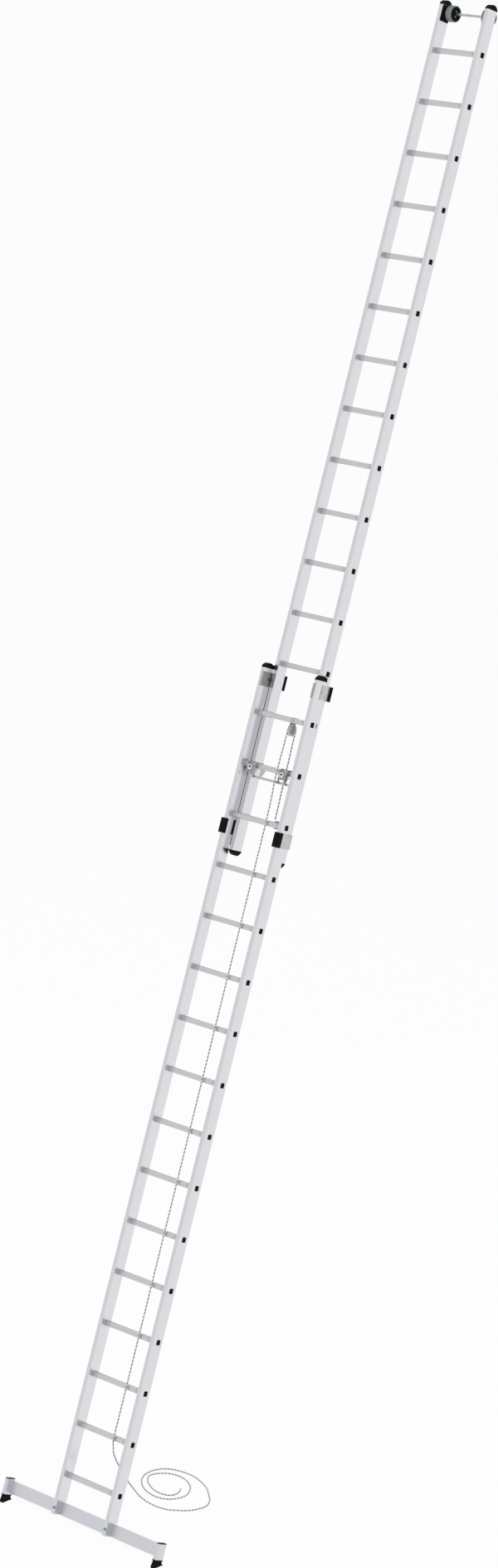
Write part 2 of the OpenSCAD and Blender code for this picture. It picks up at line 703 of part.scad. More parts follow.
// Pressed hook: two cheeks over the rung, a front plate with a tongue, and a tread plate
module latch_hook() {
    tread = rung_h / 2 + fit_gap;
    cheek = [[nose_y, -nose_drop], [bar_y - 6, -bar_drop - 3], [bar_y - 3, -bar_drop - 6],
        [bar_y, -bar_drop - 6], [bar_y, -nose_drop - 3], [mouth_y, -nose_drop],
        [mouth_y, tread - 4], [mouth_y + 4, tread], [pivot_y - 14, tread],
        [pivot_y - 9, tread - 5], [pivot_y - 9, pivot_z], [pivot_y + 9, pivot_z],
        [pivot_y - 2, tread + 5], [mouth_y - 2, tread + 5], [nose_y, 4]];
    color("silver") leaning() translate([0, 0, latch_z]) difference() {
        union() {
            for (x = [hook_x0, hook_x1 - hook_t]) along_x(x, x + hook_t) {
                polygon(cheek);
                translate([pivot_y, pivot_z]) circle(9);
            }
            translate([hook_x0, nose_y, -nose_drop]) cube([hook_w, hook_t, nose_drop + 2]);
            translate([hook_x0, mouth_y + 5, tread]) cube([hook_w, rung_d - 4, hook_t]);
        }
        along_x(0, lower_x) translate([pivot_y, pivot_z]) circle(pivot_dia / 2 + bore_gap);
        translate([latch_x, nose_y + hook_t + 1, 0]) rotate([90, 0, 0])
            linear_extrude(hook_t + 2) hook_cuts();
    }
}

// Flat bar that makes both hooks swing together, with a rivet at each tab
module latch_link_bar() {
    color("silver") leaning() translate([-bar_len / 2, bar_y, latch_z - bar_drop - bar_h / 2])
        cube([bar_len, bar_t, bar_h]);
}

// ---- Rope ----------------------------------------------------------------------------------

// The rope from the front of the sheave, over it and down to the first rung of the upper section
module hoist_rope() {
    r = pitch_dia / 2;
    c = cos(pulley_yaw);
    s = sin(pulley_yaw);
    wrap = [for (a = [165:-15:0])
        [pulley_x + r * cos(a) * s, rung_y + r * cos(a) * c, sheave_z + r * sin(a)]];
    knot_top = [pulley_x + 1, upper_rung_front - 4, upper_z + 26];
    color("whitesmoke") leaning()
        sweep(concat([ladder_route[0]], wrap, [knot_top]), rope_dia / 2);
}

module pull_rope() {
    color("whitesmoke")
        sweep(concat([for (p = ladder_route) stood(p)], floor_route), rope_dia / 2);
}

// Two turns of the rope round the first rung of the upper section
module rope_knot() {
    w = rung_d + rope_dia + 0.6;
    h = rung_h + rope_dia + 0.6;
    turns = [for (i = [0:32]) let (a = 90 + 22.5 * i, b = abs(cos(a)), c = abs(sin(a)))
        [pulley_x - 5 + 0.54 * i, upper_y + rung_y - w / 2 * sign(cos(a)) * pow(b, 0.45),
            upper_z + h / 2 * sign(sin(a)) * pow(c, 0.45)]];
    color("whitesmoke") leaning() sweep(turns, rope_dia / 2);
}

// ---- Assembly ------------------------------------------------------------------------------

module sided(left) {
    leaning() on_side(left) children();
}

sided(true) lower_rail();  // lower_rail_left
sided(false) lower_rail();  // lower_rail_right
color("lightgray") leaning() rungs(lower_x, lower_rung_z);  // lower_rungs
color("black") leaning() plugs(lower_x, lower_rung_z);  // lower_rung_plugs
sided(true) lower_cap();  // lower_cap_left
sided(false) lower_cap();  // lower_cap_right
sided(true) lower_guide();  // lower_guide_left
sided(false) lower_guide();  // lower_guide_right
sided(true) lower_slider();  // lower_slider_left
sided(false) lower_slider();  // lower_slider_right
sided(true) lower_clip();  // lower_clip_left
sided(false) lower_clip();  // lower_clip_right
leaning() lower_guide_bolts();
leaning() traverse();
sided(true) traverse_end();  // traverse_end_left
sided(false) traverse_end();  // traverse_end_right
sided(true) traverse_end_cap();  // traverse_end_cap_left
sided(false) traverse_end_cap();  // traverse_end_cap_right
on_side(true) foot();  // foot_left
on_side(false) foot();  // foot_right
leaning() traverse_bolts();
pulley_hanger();
pulley_yoke();
pulley_pin();
pulley_sheave();
sided(true) upper_rail();  // upper_rail_left
sided(false) upper_rail();  // upper_rail_right
color("lightgray") leaning() translate([0, upper_y, 0]) {  // upper_rungs
        rungs(upper_x, upper_blind_z, true);
        rungs(upper_x, upper_open_z);
    }
color("black") leaning() translate([0, upper_y, 0]) plugs(upper_x, upper_open_z);  // upper_rung_plugs
sided(true) cap(inner_x, upper_y, upper_top, false, "black");  // upper_cap_left
sided(false) cap(inner_x, upper_y, upper_top, false, "black");  // upper_cap_right
sided(true) cap(inner_x, upper_y, upper_bottom, true, "black");  // upper_end_cap_left
sided(false) cap(inner_x, upper_y, upper_bottom, true, "black");  // upper_end_cap_right
sided(true) upper_guide();  // upper_guide_left
sided(false) upper_guide();  // upper_guide_right
sided(true) upper_slider();  // upper_slider_left
sided(false) upper_slider();  // upper_slider_right
leaning() upper_guide_rivets();
on_side(true) wheel_bracket();  // wheel_bracket_left
on_side(false) wheel_bracket();  // wheel_bracket_right
wheel_axle();
on_side(true) wheel_hub();  // wheel_hub_left
on_side(false) wheel_hub();  // wheel_hub_right
on_side(true) wheel_tyre();  // wheel_tyre_left
on_side(false) wheel_tyre();  // wheel_tyre_right
on_side(true) latch_bracket();  // latch_bracket_left
on_side(false) latch_bracket();  // latch_bracket_right
latch_pins();
latch_springs();
on_side(true) latch_hook();  // latch_hook_left
on_side(false) latch_hook();  // latch_hook_right
latch_link_bar();
hoist_rope();
pull_rope();
rope_knot();
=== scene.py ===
# %% [markdown]
# # A leaning extension ladder
# Two aluminium sections lean against a wall. The upper one slides up the lower one on four
# bent steel guides with plastic shoes, and a rope over a pulley hoists it. The hard parts are
# already modelled as solids. This file gives them their finishes, lays the rope, adds small
# trim, and sets up the camera and the lights.

# %% Load the solids as a fixed frame
import json
import math

import bmesh
import bpy
from mathutils import Matrix, Vector


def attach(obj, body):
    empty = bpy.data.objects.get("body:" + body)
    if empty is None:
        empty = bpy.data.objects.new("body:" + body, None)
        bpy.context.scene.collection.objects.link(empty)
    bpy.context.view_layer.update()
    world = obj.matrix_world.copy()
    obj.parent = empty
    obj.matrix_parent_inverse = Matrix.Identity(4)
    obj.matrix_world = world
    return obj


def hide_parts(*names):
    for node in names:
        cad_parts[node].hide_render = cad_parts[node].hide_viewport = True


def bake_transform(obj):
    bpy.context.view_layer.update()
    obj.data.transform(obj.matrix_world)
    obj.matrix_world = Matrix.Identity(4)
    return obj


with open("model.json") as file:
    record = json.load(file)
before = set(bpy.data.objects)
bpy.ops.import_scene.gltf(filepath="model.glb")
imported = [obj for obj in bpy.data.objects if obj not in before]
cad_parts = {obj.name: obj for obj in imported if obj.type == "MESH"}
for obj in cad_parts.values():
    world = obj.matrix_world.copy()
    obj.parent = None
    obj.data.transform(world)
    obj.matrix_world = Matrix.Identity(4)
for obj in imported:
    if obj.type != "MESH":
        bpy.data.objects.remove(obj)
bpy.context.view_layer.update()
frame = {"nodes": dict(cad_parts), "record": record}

# %% [markdown]
# The ladder leans 70 degrees from the floor. It is easier to think of it standing straight,
# with x across, y from front to back and z along the rails up from the first rung, and to
# lean each point at the end. `stood` does that for a point and `LEANING` for a whole mesh.
# The objects themselves stay unturned, so that patterns and joints keep one frame.

# %% The leaning frame
LEAN = math.radians(70)
END_DROP = 0.227             # bottom of the cross foot's end pieces, below the first rung
HALF_END = 0.0275            # half the depth of an end piece
SOLE_LEAD = 0.008            # how far a sole stands ahead of its end piece
FOOT_HEIGHT = 0.046
BASE_Y = END_DROP * math.cos(LEAN) - HALF_END * math.sin(LEAN) + SOLE_LEAD
BASE_Z = FOOT_HEIGHT + END_DROP * math.sin(LEAN)
ALONG = Vector((0, math.cos(LEAN), math.sin(LEAN)))       # up the rails
BACK = Vector((0, math.sin(LEAN), -math.cos(LEAN)))       # from front to back
LEANING = Matrix(((1, 0, 0, 0), (0, BACK.y, ALONG.y, BASE_Y),
                  (0, BACK.z, ALONG.z, BASE_Z), (0, 0, 0, 1)))


def stood(x, y, z):
    """A point of the straight ladder, in metres, where it stands in the scene."""
    return LEANING @ Vector((x, y, z))


print("first rung's front:", tuple(round(v, 4) for v in stood(0, 0.0245, 0)))

# %% [markdown]
# A ladder of eight metres seen from close by would taper a lot. A long lens from far away
# keeps its rails nearly parallel. The camera is level from side to side, to the right of the
# ladder's front and above its middle, and looks a little down.

# %% Camera
FOCAL = 2.960                # focal length for a picture height of 1
EYE_PLACE = (16.6825, -15.4282, 10.4326)
EYE_TILT, EYE_SWING = math.radians(74.49), math.radians(44.97)

eye = bpy.data.cameras.new("camera")
eye.sensor_width = 36.0
eye.lens = FOCAL * eye.sensor_width
eye.clip_start, eye.clip_end = 1.0, 400.0
camera = bpy.data.objects.new("camera", eye)
camera.location = EYE_PLACE
camera.rotation_euler = (EYE_TILT, 0, EYE_SWING)
bpy.context.scene.collection.objects.link(camera)
bpy.context.scene.camera = camera
bpy.context.scene.view_settings.view_transform = "Standard"
print("lens: %.1f mm" % eye.lens)

# %% [markdown]
# ## Rope
# The rope runs from loose loops on the floor up the front of the ladder, over the pulley and
# down to the first rung of the upper section. It could be a curve with a round bevel, but
# then its strands would only be painted on. So its route is worked out here as a row of
# evenly spaced points, and a tube with real strands is laid along them.

# %% Route of the rope
ROPE = 0.008                 # thickness
RUN_Y = 0.016                # depth at which the long strand hangs in front of the rungs
SHEAVE = (0.076, 0.0395, 4.142)
YAW = math.radians(20)       # turn of the pulley about its stud
PITCH_R = 0.023              # from the sheave's axis to the middle of the rope
TIED = (0.077, 0.0815, 3.666)        # where the hoisting strand meets its turns on the rung

on_ladder = [                # metres, on the straight ladder
    (0.068, 0.018, 4.142), (0.067, 0.017, 4.050), (0.066, 0.015, 3.945), (0.069, 0.012, 3.865),
    (0.074, 0.014, 3.790), (0.077, RUN_Y, 3.640), (0.078, RUN_Y, 3.260), (0.080, RUN_Y, 2.350),
    (0.083, RUN_Y, 1.430), (0.085, RUN_Y, 0.700), (0.086, RUN_Y, 0.390), (0.086, RUN_Y, 0.310),
    (0.085, 0.019, 0.266), (0.084, 0.0275, 0.245), (0.082, 0.0495, 0.198),
    (0.066, 0.1165, 0.142)]
on_floor = [                 # millimetres, in the scene
    (46, 272, 278), (28, 328, 204), (22, 374, 144), (26, 420, 84), (46, 470, 36), (88, 510, 10),
    (140, 541, 4), (215, 610, 4), (238, 700, 4), (205, 765, 4), (152, 813, 4), (60, 880, 4),
    (-73, 930, 4), (-180, 932, 4), (-265, 900, 4), (-302, 838, 4), (-296, 765, 4),
    (-255, 698, 4), (-182, 640, 4), (-94, 607, 4), (-15, 607, 4), (40, 640, 4), (62, 719, 4),
    (20, 800, 4), (-43, 850, 4), (-123, 878, 4), (-201, 870, 4), (-252, 827, 4),
    (-268, 777, 4), (-235, 724, 4), (-168, 679, 4), (-92, 652, 4), (-25, 656, 4),
    (8, 685, 4), (3, 730, 4), (-23, 770, 4)]
pull_route = [stood(*p) for p in on_ladder] + [Vector(p) / 1000 for p in on_floor]
hoist_route = [stood(*on_ladder[0])]
for degrees in range(165, -1, -15):
    across = PITCH_R * math.cos(math.radians(degrees))
    hoist_route.append(stood(SHEAVE[0] + across * math.sin(YAW),
                             SHEAVE[1] + across * math.cos(YAW),
                             SHEAVE[2] + PITCH_R * math.sin(math.radians(degrees))))
hoist_route.append(stood(*TIED))
print("route points:", len(pull_route), len(hoist_route))

# %% [markdown]
# A few dozen points are easy to list, but a rope has no corners. A curve that
# leaves and enters each point in the direction of its neighbours runs smoothly through all
# of them. Walking along it in equal steps keeps the faces of the tube the same size.

# %% Smooth lines with even steps
STEP = 0.0022


def smooth_line(route):
    """Points every STEP along a smooth curve through the route."""
    fine = []
    for i in range(len(route) - 1):
        a, b = route[max(i - 1, 0)], route[i]
        c, d = route[i + 1], route[min(i + 2, len(route) - 1)]
        span = (c - b).length
        leave = (c - a).normalized() * span
        arrive = (d - b).normalized() * span
        count = max(4, int(span / STEP * 2))
        for k in range(count):
            u = k / count
            fine.append((2 * u ** 3 - 3 * u ** 2 + 1) * b + (u ** 3 - 2 * u ** 2 + u) * leave
                        + (3 * u ** 2 - 2 * u ** 3) * c + (u ** 3 - u ** 2) * arrive)
    fine.append(route[-1])
    line, left = [fine[0]], STEP
    for here, there in zip(fine, fine[1:]):
        gap = (there - here).length
        done = 0.0
        while gap - done >= left:
            done += left
            line.append(here.lerp(there, done / gap))
            left = STEP
        left -= gap - done
    return line


def length_of(line):
    return sum((b - a).length for a, b in zip(line, line[1:]))


pull_line = smooth_line(pull_route)
for point in pull_line:
    point.z = max(point.z, ROPE / 2)         # nothing sinks into the floor
hoist_line = smooth_line(hoist_route)
print("pull rope: %.2f m, hoist rope: %.2f m" % (length_of(pull_line), length_of(hoist_line)))

# %% [markdown]
# The rope is laid from three strands that go round each other. A tube whose section has
# three lobes, and turns as it goes, has the strands in its shape at a small part of the faces
# of three separate tubes. Its UV map turns with the lobes: U is the length in metres and V
# says which strand a point is on, so that a yarn's colour can follow its strand.

# %% The laid tube
STRANDS = 3
SIDES = 4 * STRANDS
TURN = 0.020                 # length in which a strand goes once round
WAVE = 0.05                  # depth of the lobes, as a share of the radius


def piece_of(name, bm):
    """Makes a bmesh an object of the scene, and frees the bmesh."""
    mesh = bpy.data.meshes.new(name)
    bm.to_mesh(mesh)
    bm.free()
    piece = bpy.data.objects.new(name, mesh)
    bpy.context.scene.collection.objects.link(piece)
    return piece


def laid_rope(name, line):
    """A tube with three lobes that wind round the line."""
    bm = bmesh.new()
    uv = bm.loops.layers.uv.new("rope")
    side = Vector((1, 0, 0.01))
    rings, gone = [], [0.0]
    for i, centre in enumerate(line):
        ahead = (line[min(i + 1, len(line) - 1)] - line[max(i - 1, 0)]).normalized()
        side = (side - side.dot(ahead) * ahead).normalized()
        up = ahead.cross(side)
        if i:
            gone.append(gone[-1] + (centre - line[i - 1]).length)
        ring = []
        for k in range(SIDES):
            turn = 2 * math.pi * (k / SIDES + gone[-1] / TURN)
            lobe = math.cos(2 * math.pi * k * STRANDS / SIDES)
            radius = ROPE / 2 * (1 - WAVE + WAVE * lobe)
            outward = math.cos(turn) * side + math.sin(turn) * up
            ring.append(bm.verts.new(centre + radius * outward))
        rings.append(ring)
    for i, (ring, onward) in enumerate(zip(rings, rings[1:])):
        for k in range(SIDES):
            j = (k + 1) % SIDES
            face = bm.faces.new((ring[k], ring[j], onward[j], onward[k]))
            face.smooth = True
            corners = ((k, i), (k + 1, i), (k + 1, i + 1), (k, i + 1))
            for loop, (around, along) in zip(face.loops, corners):
                loop[uv].uv = (gone[along], around / SIDES)
    bm.faces.new(tuple(reversed(rings[0])))
    bm.faces.new(tuple(rings[-1]))
    bmesh.ops.recalc_face_normals(bm, faces=bm.faces)
    return piece_of(name, bm)


pull_rope = laid_rope("pull_rope_laid", pull_line)
hoist_rope = laid_rope("hoist_rope_laid", hoist_line)
print("rope faces:", len(pull_rope.data.polygons), len(hoist_rope.data.polygons))

# %% [markdown]
# The hoisting strand ends in two turns round the first rung of the upper section. The rung
# is a rounded square, so a plain circle would cut its corners or stand off its sides. A
# power below 1 swells the circle towards a rounded square.

# %% Turns round the rung
WOUND_RUNG = (0.1005, 3.640)         # y and z of the rung's middle
HALF_TURN = (0.0193, 0.0183)         # half the depth and half the height of a turn
FIRST_X, ADVANCE = 0.071, 0.00054    # start of the turns, and their way to the right per point
SWELL = 0.45


def swollen(value):
    """A sine or cosine, swelled towards -1 and 1."""
    return math.copysign(abs(value) ** SWELL, value)


ring_route = []
for i in range(33):
    angle = math.radians(90 + 22.5 * i)
    ring_route.append(stood(FIRST_X + ADVANCE * i,
                            WOUND_RUNG[0] - swollen(math.cos(angle)) * HALF_TURN[0],
                            WOUND_RUNG[1] + swollen(math.sin(angle)) * HALF_TURN[1]))
knot_line = smooth_line(ring_route)
knot = laid_rope("rope_turns", knot_line)
print("turns: %.3f m" % length_of(knot_line))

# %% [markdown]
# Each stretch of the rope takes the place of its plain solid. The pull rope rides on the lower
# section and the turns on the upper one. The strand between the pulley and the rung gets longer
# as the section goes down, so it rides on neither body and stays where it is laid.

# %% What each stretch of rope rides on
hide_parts("pull_rope")
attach(pull_rope, "lower")
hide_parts("hoist_rope")
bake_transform(hoist_rope)
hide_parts("rope_knot")
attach(knot, "upper")
print("rope stretches:", [rope.name for rope in (pull_rope, hoist_rope, knot)])

# %% [markdown]
# ## Crisp rail corners
# Extruded rails have tight corners, which catch a thin line of light. The solids' corners
# are rounder. A new bevel would need the sharp edges back first, so each corner is drawn out
# instead: its points move towards the sharp edge, and the flat walls stay where they are.

# %% Draw out the corners of the four rails
RAIL_W, RAIL_D = 0.025, 0.070
HALF_LOWER, HALF_UPPER = 0.210, 0.175        # outer faces of the two sections
UPPER_Y = 0.061                              # front of the upper rails
SOFT, CRISP = 0.005, 0.0005                  # corner radius before and after
NEAR = 0.0001                                # a point this near the old radius is on a corner


def crisp_rail(name, body, outside, front):
    """Copies a rail, whose outer face is at x = outside, and tightens its four corners."""
    rail = bpy.data.objects.new(name + "_crisp", frame["nodes"][name].data.copy())
    bpy.context.scene.collection.objects.link(rail)
    inside = outside - math.copysign(RAIL_W, outside)
    moved = 0
    for vertex in rail.data.vertices:
        here = LEANING.inverted() @ vertex.co
        edge = Vector((min((inside, outside), key=lambda x: abs(x - here.x)),
                       min((front, front + RAIL_D), key=lambda y: abs(y - here.y)), here.z))
        middle = edge + Vector((math.copysign(SOFT, (inside + outside) / 2 - edge.x),
                                math.copysign(SOFT, front + RAIL_D / 2 - edge.y), 0))
        if abs((here - middle).length - SOFT) < NEAR:
            vertex.co = LEANING @ edge.lerp(here, CRISP / SOFT)
            moved += 1
    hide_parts(name)
    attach(rail, body)
    print(name, "corner points:", moved)
    return rail


rails = [crisp_rail("lower_rail_left", "lower", -HALF_LOWER, 0.0),
         crisp_rail("lower_rail_right", "lower", HALF_LOWER, 0.0),
         crisp_rail("upper_rail_left", "upper", -HALF_UPPER, UPPER_Y),
         crisp_rail("upper_rail_right", "upper", HALF_UPPER, UPPER_Y)]

# %% [markdown]
# ## Small fastenings
# Two screws hold each wheel hub to its axle sleeve, and a hexagon bolt closes the pulley's
# strap under the rung. At this size nobody sees a thread or a slot, so each head is a short
# cone with its outer rim bevelled. A hexagon is the same cone with six sides.

# %% Screw and bolt heads
TAPER, RIM = 0.94, 0.3       # outer radius over inner one, and the bevel over the height


def trim(name, bm, body, place):
    """Moves a bmesh into place and makes it a piece that rides on a body."""
    bm.transform(place)
    piece = piece_of(name, bm)
    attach(piece, body)
    return piece


def head(name, body, place, outward, radius, height, sides=24):
    """A head that stands on place and points outward, both in the straight ladder."""
    bm = bmesh.new()
    bmesh.ops.create_cone(bm, cap_ends=True, segments=sides, radius1=radius,
                          radius2=radius * TAPER, depth=height)
    rim = [e for e in bm.edges if all(v.co.z > 0 for v in e.verts)]
    bmesh.ops.bevel(bm, geom=rim, offset=height * RIM, segments=3, profile=0.5,
                    affect="EDGES", material=-1)
    facing = Vector(outward).to_track_quat("Z", "Y").to_matrix().to_4x4()
    lift = Matrix.Translation(Vector(place) + Vector(outward) * height / 2)
    return trim(name, bm, body, LEANING @ lift @ facing)


AXLE = (0.131, 8.050)        # y and z of the wheel axle
BOSS = 0.1090                # inner face of a hub's boss
SCREWS_OUT = 0.0135          # from the axle to a hub screw
hub_screws = []
for side, wheel in ((-1, "left"), (1, "right")):
    for name, way in (("upper", 1), ("lower", -1)):
        hub_screws.append(head("hub_screw_%s_%s" % (name, wheel), "wheel_" + wheel,
                               (side * BOSS, AXLE[0], AXLE[1] + way * SCREWS_OUT),
                               (-side, 0, 0), 0.0030, 0.0015))
STRAP = (0.0395, 4.1795)     # y and z of the strap's bolt
strap_bolt = head("pulley_strap_bolt", "lower", (0.0625, *STRAP), (-1, 0, 0),
                  0.0065, 0.006, sides=6)
strap_shank = head("pulley_strap_shank", "lower", (0.0725, *STRAP), (-1, 0, 0),
                   0.0025, 0.010)
print("heads:", len(hub_screws) + 2)

# %% [markdown]
# Flat pieces finish the latches and the pulley. Each hook has a bright tab riveted to its
# sprung tongue; the rivet's black head is painted shade for a finger hole, and a black pad
# behind the tab is painted shade in the slit. Two legs join the pulley's cheeks to its strap.
# All are sheet or strip, so a cube stretched between two corners and bevelled all round is
# enough.

# %% Plates of the latches and the pulley
LATCH_X, LATCH_Z = 0.1175, 3.920     # middle of a hook, and its rung's axis
NOSE_Y = 0.006                       # front of the hooks


def plate(name, body, low, high, rounding, turn=0.0, about=(0, 0)):
    """A block from low to high, with rounded edges, turned about an upright line."""
    bm = bmesh.new()
    bmesh.ops.create_cube(bm, size=1.0)
    low, high = Vector(low), Vector(high)
    for vertex in bm.verts:
        vertex.co = (low + high) / 2 + vertex.co * (high - low)
    bmesh.ops.bevel(bm, geom=bm.edges[:], offset=rounding, segments=2, profile=0.5,
                    affect="EDGES", material=-1)
    centre = Matrix.Translation((*about, 0))
    return trim(name, bm, body,
                LEANING @ centre @ Matrix.Rotation(turn, 4, "Z") @ centre.inverted())


tabs, slit_shade_pads, hole_shade_rivets = [], [], []
for side, x in (("left", -LATCH_X), ("right", LATCH_X)):
    tabs.append(plate("latch_tab_" + side, "latch",
                      (x - 0.018, NOSE_Y - 0.0022, LATCH_Z - 0.028),
                      (x + 0.009, NOSE_Y + 0.0002, LATCH_Z - 0.001), 0.0008))
    # Painted shade: a black pad behind each tab darkens the slit.
    slit_shade_pads.append(plate("latch_dark_pad_" + side, "latch",
                         (x - 0.021, NOSE_Y + 0.0027, LATCH_Z - 0.036),
                         (x + 0.021, NOSE_Y + 0.0052, LATCH_Z - 0.003), 0.0005))
    # Painted shade: the rivet head is black, standing for the dark finger hole in the tab.
    hole_shade_rivets.append(head("latch_rivet_shade_" + side, "latch",
                           (x - 0.0055, NOSE_Y - 0.0020, LATCH_Z - 0.012), (0, -1, 0),
                           0.0062, 0.0015))
LEG = 0.002                  # thickness of a leg
legs = [plate("pulley_leg_" + side, "lower", (x, 0.0315, 4.130), (x + LEG, 0.0475, 4.1845),
              0.0004, -YAW, SHEAVE[:2])
        for side, x in (("left", 0.0637), ("right", 0.0863))]
print("plates:", len(tabs) + len(slit_shade_pads) + len(legs))

# %% [markdown]
# Thin dark strips line the back inner edge of each lower rail where the two sections
# overlap. They are a painted shadow of the narrow gap between the sections, and they also
# close the slit there, through which the floor would show as a bright line. They are plates
# again, and leave room for the upper section's sliders and for the guides above.

# %% Dark strips for the shadow in the gap between the sections
STRIP = 0.002                # width and thickness
STRIP_INSET = 0.0006         # from the back of the rail
LOWER_INSIDE = HALF_LOWER - RAIL_W   # inner face of a lower rail
gap_shade_strips = []
for side, x in (("left", -LOWER_INSIDE), ("right", LOWER_INSIDE - STRIP)):
    for end, bottom, top in (("short", 3.476, 3.528), ("long", 3.612, 4.338)):
        # Painted shadow: dark strips in the gap between the lower and the upper rails.
        gap_shade_strips.append(plate("gap_shadow_strip_%s_%s" % (end, side), "lower",
                            (x, RAIL_D - STRIP - STRIP_INSET, bottom),
                            (x + STRIP, RAIL_D - STRIP_INSET, top), 0.0003))
print("strips:", len(gap_shade_strips))

# %% [markdown]
# ## Finishes
# Every finish is a Principled shader. A plain colour would look like plastic toy parts, and
# an image would show its seams along an eight metre rail. So patterns and masks are built
# from nodes. The first helpers start a finish, add a node, link two sockets and do sums.

# %% Nodes, links and sums


def new_finish(name, colour, roughness, metallic=0.0):
    """A finish that is one plain colour so far."""
    finish = bpy.data.materials.new(name)
    finish.use_nodes = True
    shader = finish.node_tree.nodes["Principled BSDF"]
    shader.inputs["Base Color"].default_value = (*colour, 1.0)
    shader.inputs["Roughness"].default_value = roughness
    shader.inputs["Metallic"].default_value = metallic
    return finish


def node_of(owner, kind, **values):
    """A new node of a finish or a world, with its settings and its sockets filled in."""
    node = owner.node_tree.nodes.new(kind)
    for key, value in values.items():
        if hasattr(node, key):
            setattr(node, key, value)
        else:
            node.inputs[key.replace("_", " ")].default_value = value
    return node


def join(owner, out, into):
    owner.node_tree.links.new(out, into)


def maths(owner, operation, *values):
    """The result of a sum, in which each value is a number or another node's output."""
    node = node_of(owner, "ShaderNodeMath", operation=operation)
    for socket, value in zip(node.inputs, values):
        if isinstance(value, (int, float)):
            socket.default_value = value
        else:
            join(owner, value, socket)
    return node.outputs["Value"]


def ramp(owner, value, start, end, low=0.0, high=1.0):
    """Low up to start, high from end, and a straight slope between them."""
    reach = node_of(owner, "ShaderNodeMapRange", From_Min=start, From_Max=end,
                    To_Min=low, To_Max=high)
    join(owner, value, reach.inputs["Value"])
    return reach.outputs["Result"]


def shader_of(finish):
    return finish.node_tree.nodes["Principled BSDF"]


print("helpers for finishes and for the surround are ready")

# %% [markdown]
# Gloss and fine relief come from noise on the piece itself, stretched along the direction in
# which the real surface was drawn, pressed or rolled. It reads Object coordinates, so it has
# no seams and stays on the piece when the piece moves.

# %% Patterns on a surface
MOST = (0.3, 0.7)            # nearly all of a noise lies between these
TILT = (LEAN - math.pi / 2, 0, 0)


def pattern(finish, scale, stretch=(1, 1, 1), turn=(0, 0, 0), detail=3.0):
    """Noise on the piece itself, turned and then stretched."""
    place = node_of(finish, "ShaderNodeTexCoord")
    turned = node_of(finish, "ShaderNodeMapping", vector_type="TEXTURE", Rotation=turn)
    join(finish, place.outputs["Object"], turned.inputs["Vector"])
    pulled = node_of(finish, "ShaderNodeMapping", Scale=stretch)
    join(finish, turned.outputs["Vector"], pulled.inputs["Vector"])
    cloud = node_of(finish, "ShaderNodeTexNoise", Scale=scale, Detail=detail)
    join(finish, pulled.outputs["Vector"], cloud.inputs["Vector"])
    return cloud.outputs["Fac"]


def gloss(finish, value, low, high):
    """Makes the roughness follow a pattern between two values."""
    join(finish, ramp(finish, value, *MOST, low, high), shader_of(finish).inputs["Roughness"])


def relief(finish, value, strength, depth):
    """Raises a pattern as fine relief, too small to model."""
    bump = node_of(finish, "ShaderNodeBump", Strength=strength, Distance=depth)
    join(finish, value, bump.inputs["Height"])
    join(finish, bump.outputs["Normal"], shader_of(finish).inputs["Normal"])


print("patterns lean by", round(math.degrees(TILT[0]), 1), "degrees")

# %% [markdown]
# One metal piece isn't one tone: it is duller where it was clamped or crimped. A tint lays a
# second colour over the first, and a mask says where, by place or by the way a face looks.

# %% Colours and masks


def mixed(finish, share, first, second):
    """A colour that goes from the first to the second as share goes from 0 to 1."""
    mix = node_of(finish, "ShaderNodeMix", data_type="RGBA")
    tones = [s for s in mix.inputs if s.type == "RGBA"]
    for socket, colour in zip(tones, (first, second)):
        if isinstance(colour, tuple):
            socket.default_value = (*colour, 1.0)
        else:
            join(finish, colour, socket)
    join(finish, share, mix.inputs["Factor"])
    return [s for s in mix.outputs if s.type == "RGBA"][0]


def shades(finish, value, dark, light):
    """Colours a pattern from dark to light."""
    colour = mixed(finish, ramp(finish, value, *MOST), dark, light)
    join(finish, colour, shader_of(finish).inputs["Base Color"])


def tint(finish, share, colour):
    """Lays a second colour over the first one where share is 1."""
    socket = shader_of(finish).inputs["Base Color"]
    first = tuple(socket.default_value)[:3]
    if socket.is_linked:
        first = socket.links[0].from_socket
    join(finish, mixed(finish, share, first, colour), socket)


def beyond(finish, direction, low, high, both_ways=False):
    """0 up to low and 1 from high, measured along a direction of the scene."""
    place = node_of(finish, "ShaderNodeTexCoord")
    along = node_of(finish, "ShaderNodeVectorMath", operation="DOT_PRODUCT")
    along.inputs[1].default_value = direction
    join(finish, place.outputs["Object"], along.inputs[0])
    far = along.outputs["Value"]
    if both_ways:
        far = maths(finish, "ABSOLUTE", far)
    return ramp(finish, far, low, high)


def sideways(finish):
    """1 on faces that look to the left or the right, 0 on the front and the back."""
    facing = node_of(finish, "ShaderNodeNewGeometry")
    parts = node_of(finish, "ShaderNodeSeparateXYZ")
    join(finish, facing.outputs["True Normal"], parts.inputs["Vector"])
    return maths(finish, "ABSOLUTE", parts.outputs["X"])


print("a colour can follow a pattern, a place or the way a face looks")

# %% [markdown]
# The rails are extruded: they leave the die with faint lines along their length and a soft,
# bright surface. At the foot their side faces are painted darker, as painted shade next to the
# cross tube fixed there. The cross tube is the same kind of metal with its lines across the
# ladder.

# %% Aluminium of the rails and the cross tube
DIE_LINES = 420.0            # scale of the lines' noise
DRAWN = 0.012                # stretch of a line: the smaller, the longer
FOOT_SHADE_TOP = -0.149           # height up to which the rails' sides are painted darker as shade, from the first rung

